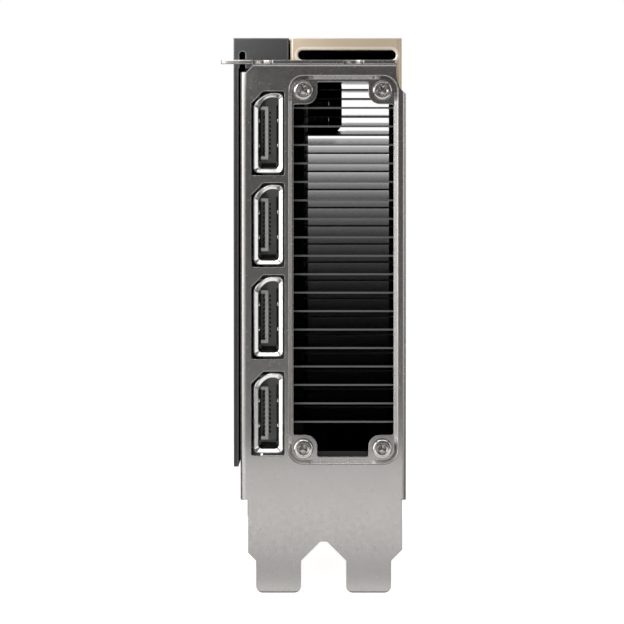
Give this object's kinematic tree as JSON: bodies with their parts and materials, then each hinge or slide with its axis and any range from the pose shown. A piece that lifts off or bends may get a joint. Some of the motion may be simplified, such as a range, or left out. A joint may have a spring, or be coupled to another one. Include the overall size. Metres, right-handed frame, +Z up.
{
  "type": "gpu accelerator card",
  "caption": "Passively cooled dual-slot graphics accelerator card with a formed bracket, display sockets, vent window, fin stack, board, cover and back frame.",
  "frame": {"origin": "underside of the bracket's bent tab, midway between its two screw notches and on the line through their centres, where the card sits on the chassis rail", "axes": "+X from the board towards the fin tips (to the right in the picture), +Y along the card away from the bracket, +Z up from the edge connector to the top edge"},
  "size_m": [0.0415, 0.2791, 0.1251],
  "materials": {
    "nickel_steel": "nickel plated, fine satin grain",
    "screw_steel": "bright nickel plate",
    "shell_steel": "bright nickel plate",
    "port_plastic": "moulded, matt",
    "contact_gold": "gold plated",
    "board_laminate": "solder mask, satin",
    "substrate": "satin laminate",
    "silicon": "polished",
    "stiffener_steel": "satin",
    "chip_plastic": "moulded, matt",
    "pad_silicone": "soft thermal pad",
    "inductor_ferrite": "pressed powder",
    "capacitor_case": "moulded, matt",
    "heat_aluminium": "milled",
    "base_aluminium": "dark anodised",
    "fin_aluminium": "rolled sheet",
    "cover_champagne": "satin champagne coat",
    "frame_dark": "fine textured powder coat",
    "spring_steel": "satin",
    "dark_screw": "black oxide",
    "power_plastic": "moulded, matt",
    "pin_tin": "tin plated"
  },
  "bodies": {
    "root": {"io_bracket": "nickel_steel", "bracket_screws": "screw_steel", "main_board": "board_laminate", "edge_contacts": "contact_gold", "gpu_substrate": "substrate", "gpu_die": "silicon", "gpu_stiffener": "stiffener_steel", "memory_chips_front": "chip_plastic", "memory_pads_front": "pad_silicone", "memory_chips_rear": "chip_plastic", "memory_pads_rear": "pad_silicone", "power_stages": "chip_plastic", "power_stage_pads": "pad_silicone", "inductors": "inductor_ferrite", "inductor_pads": "pad_silicone", "capacitors": "capacitor_case", "control_chips": "chip_plastic", "heat_plate": "heat_aluminium", "heatsink_base": "base_aluminium", "heatsink_fins": "fin_aluminium", "air_cover": "cover_champagne", "cover_screws": "dark_screw", "back_frame": "frame_dark", "frame_screws": "dark_screw", "spring_plate": "spring_steel", "spring_screws": "screw_steel", "power_housing": "power_plastic", "power_terminals": "pin_tin", "port_shell_1": "shell_steel", "port_insert_1": "port_plastic", "port_contacts_1": "pin_tin", "port_shell_2": "shell_steel", "port_insert_2": "port_plastic", "port_contacts_2": "pin_tin", "port_shell_3": "shell_steel", "port_insert_3": "port_plastic", "port_contacts_3": "pin_tin", "port_shell_4": "shell_steel", "port_insert_4": "port_plastic", "port_contacts_4": "pin_tin"}
  },
  "joints": []
}
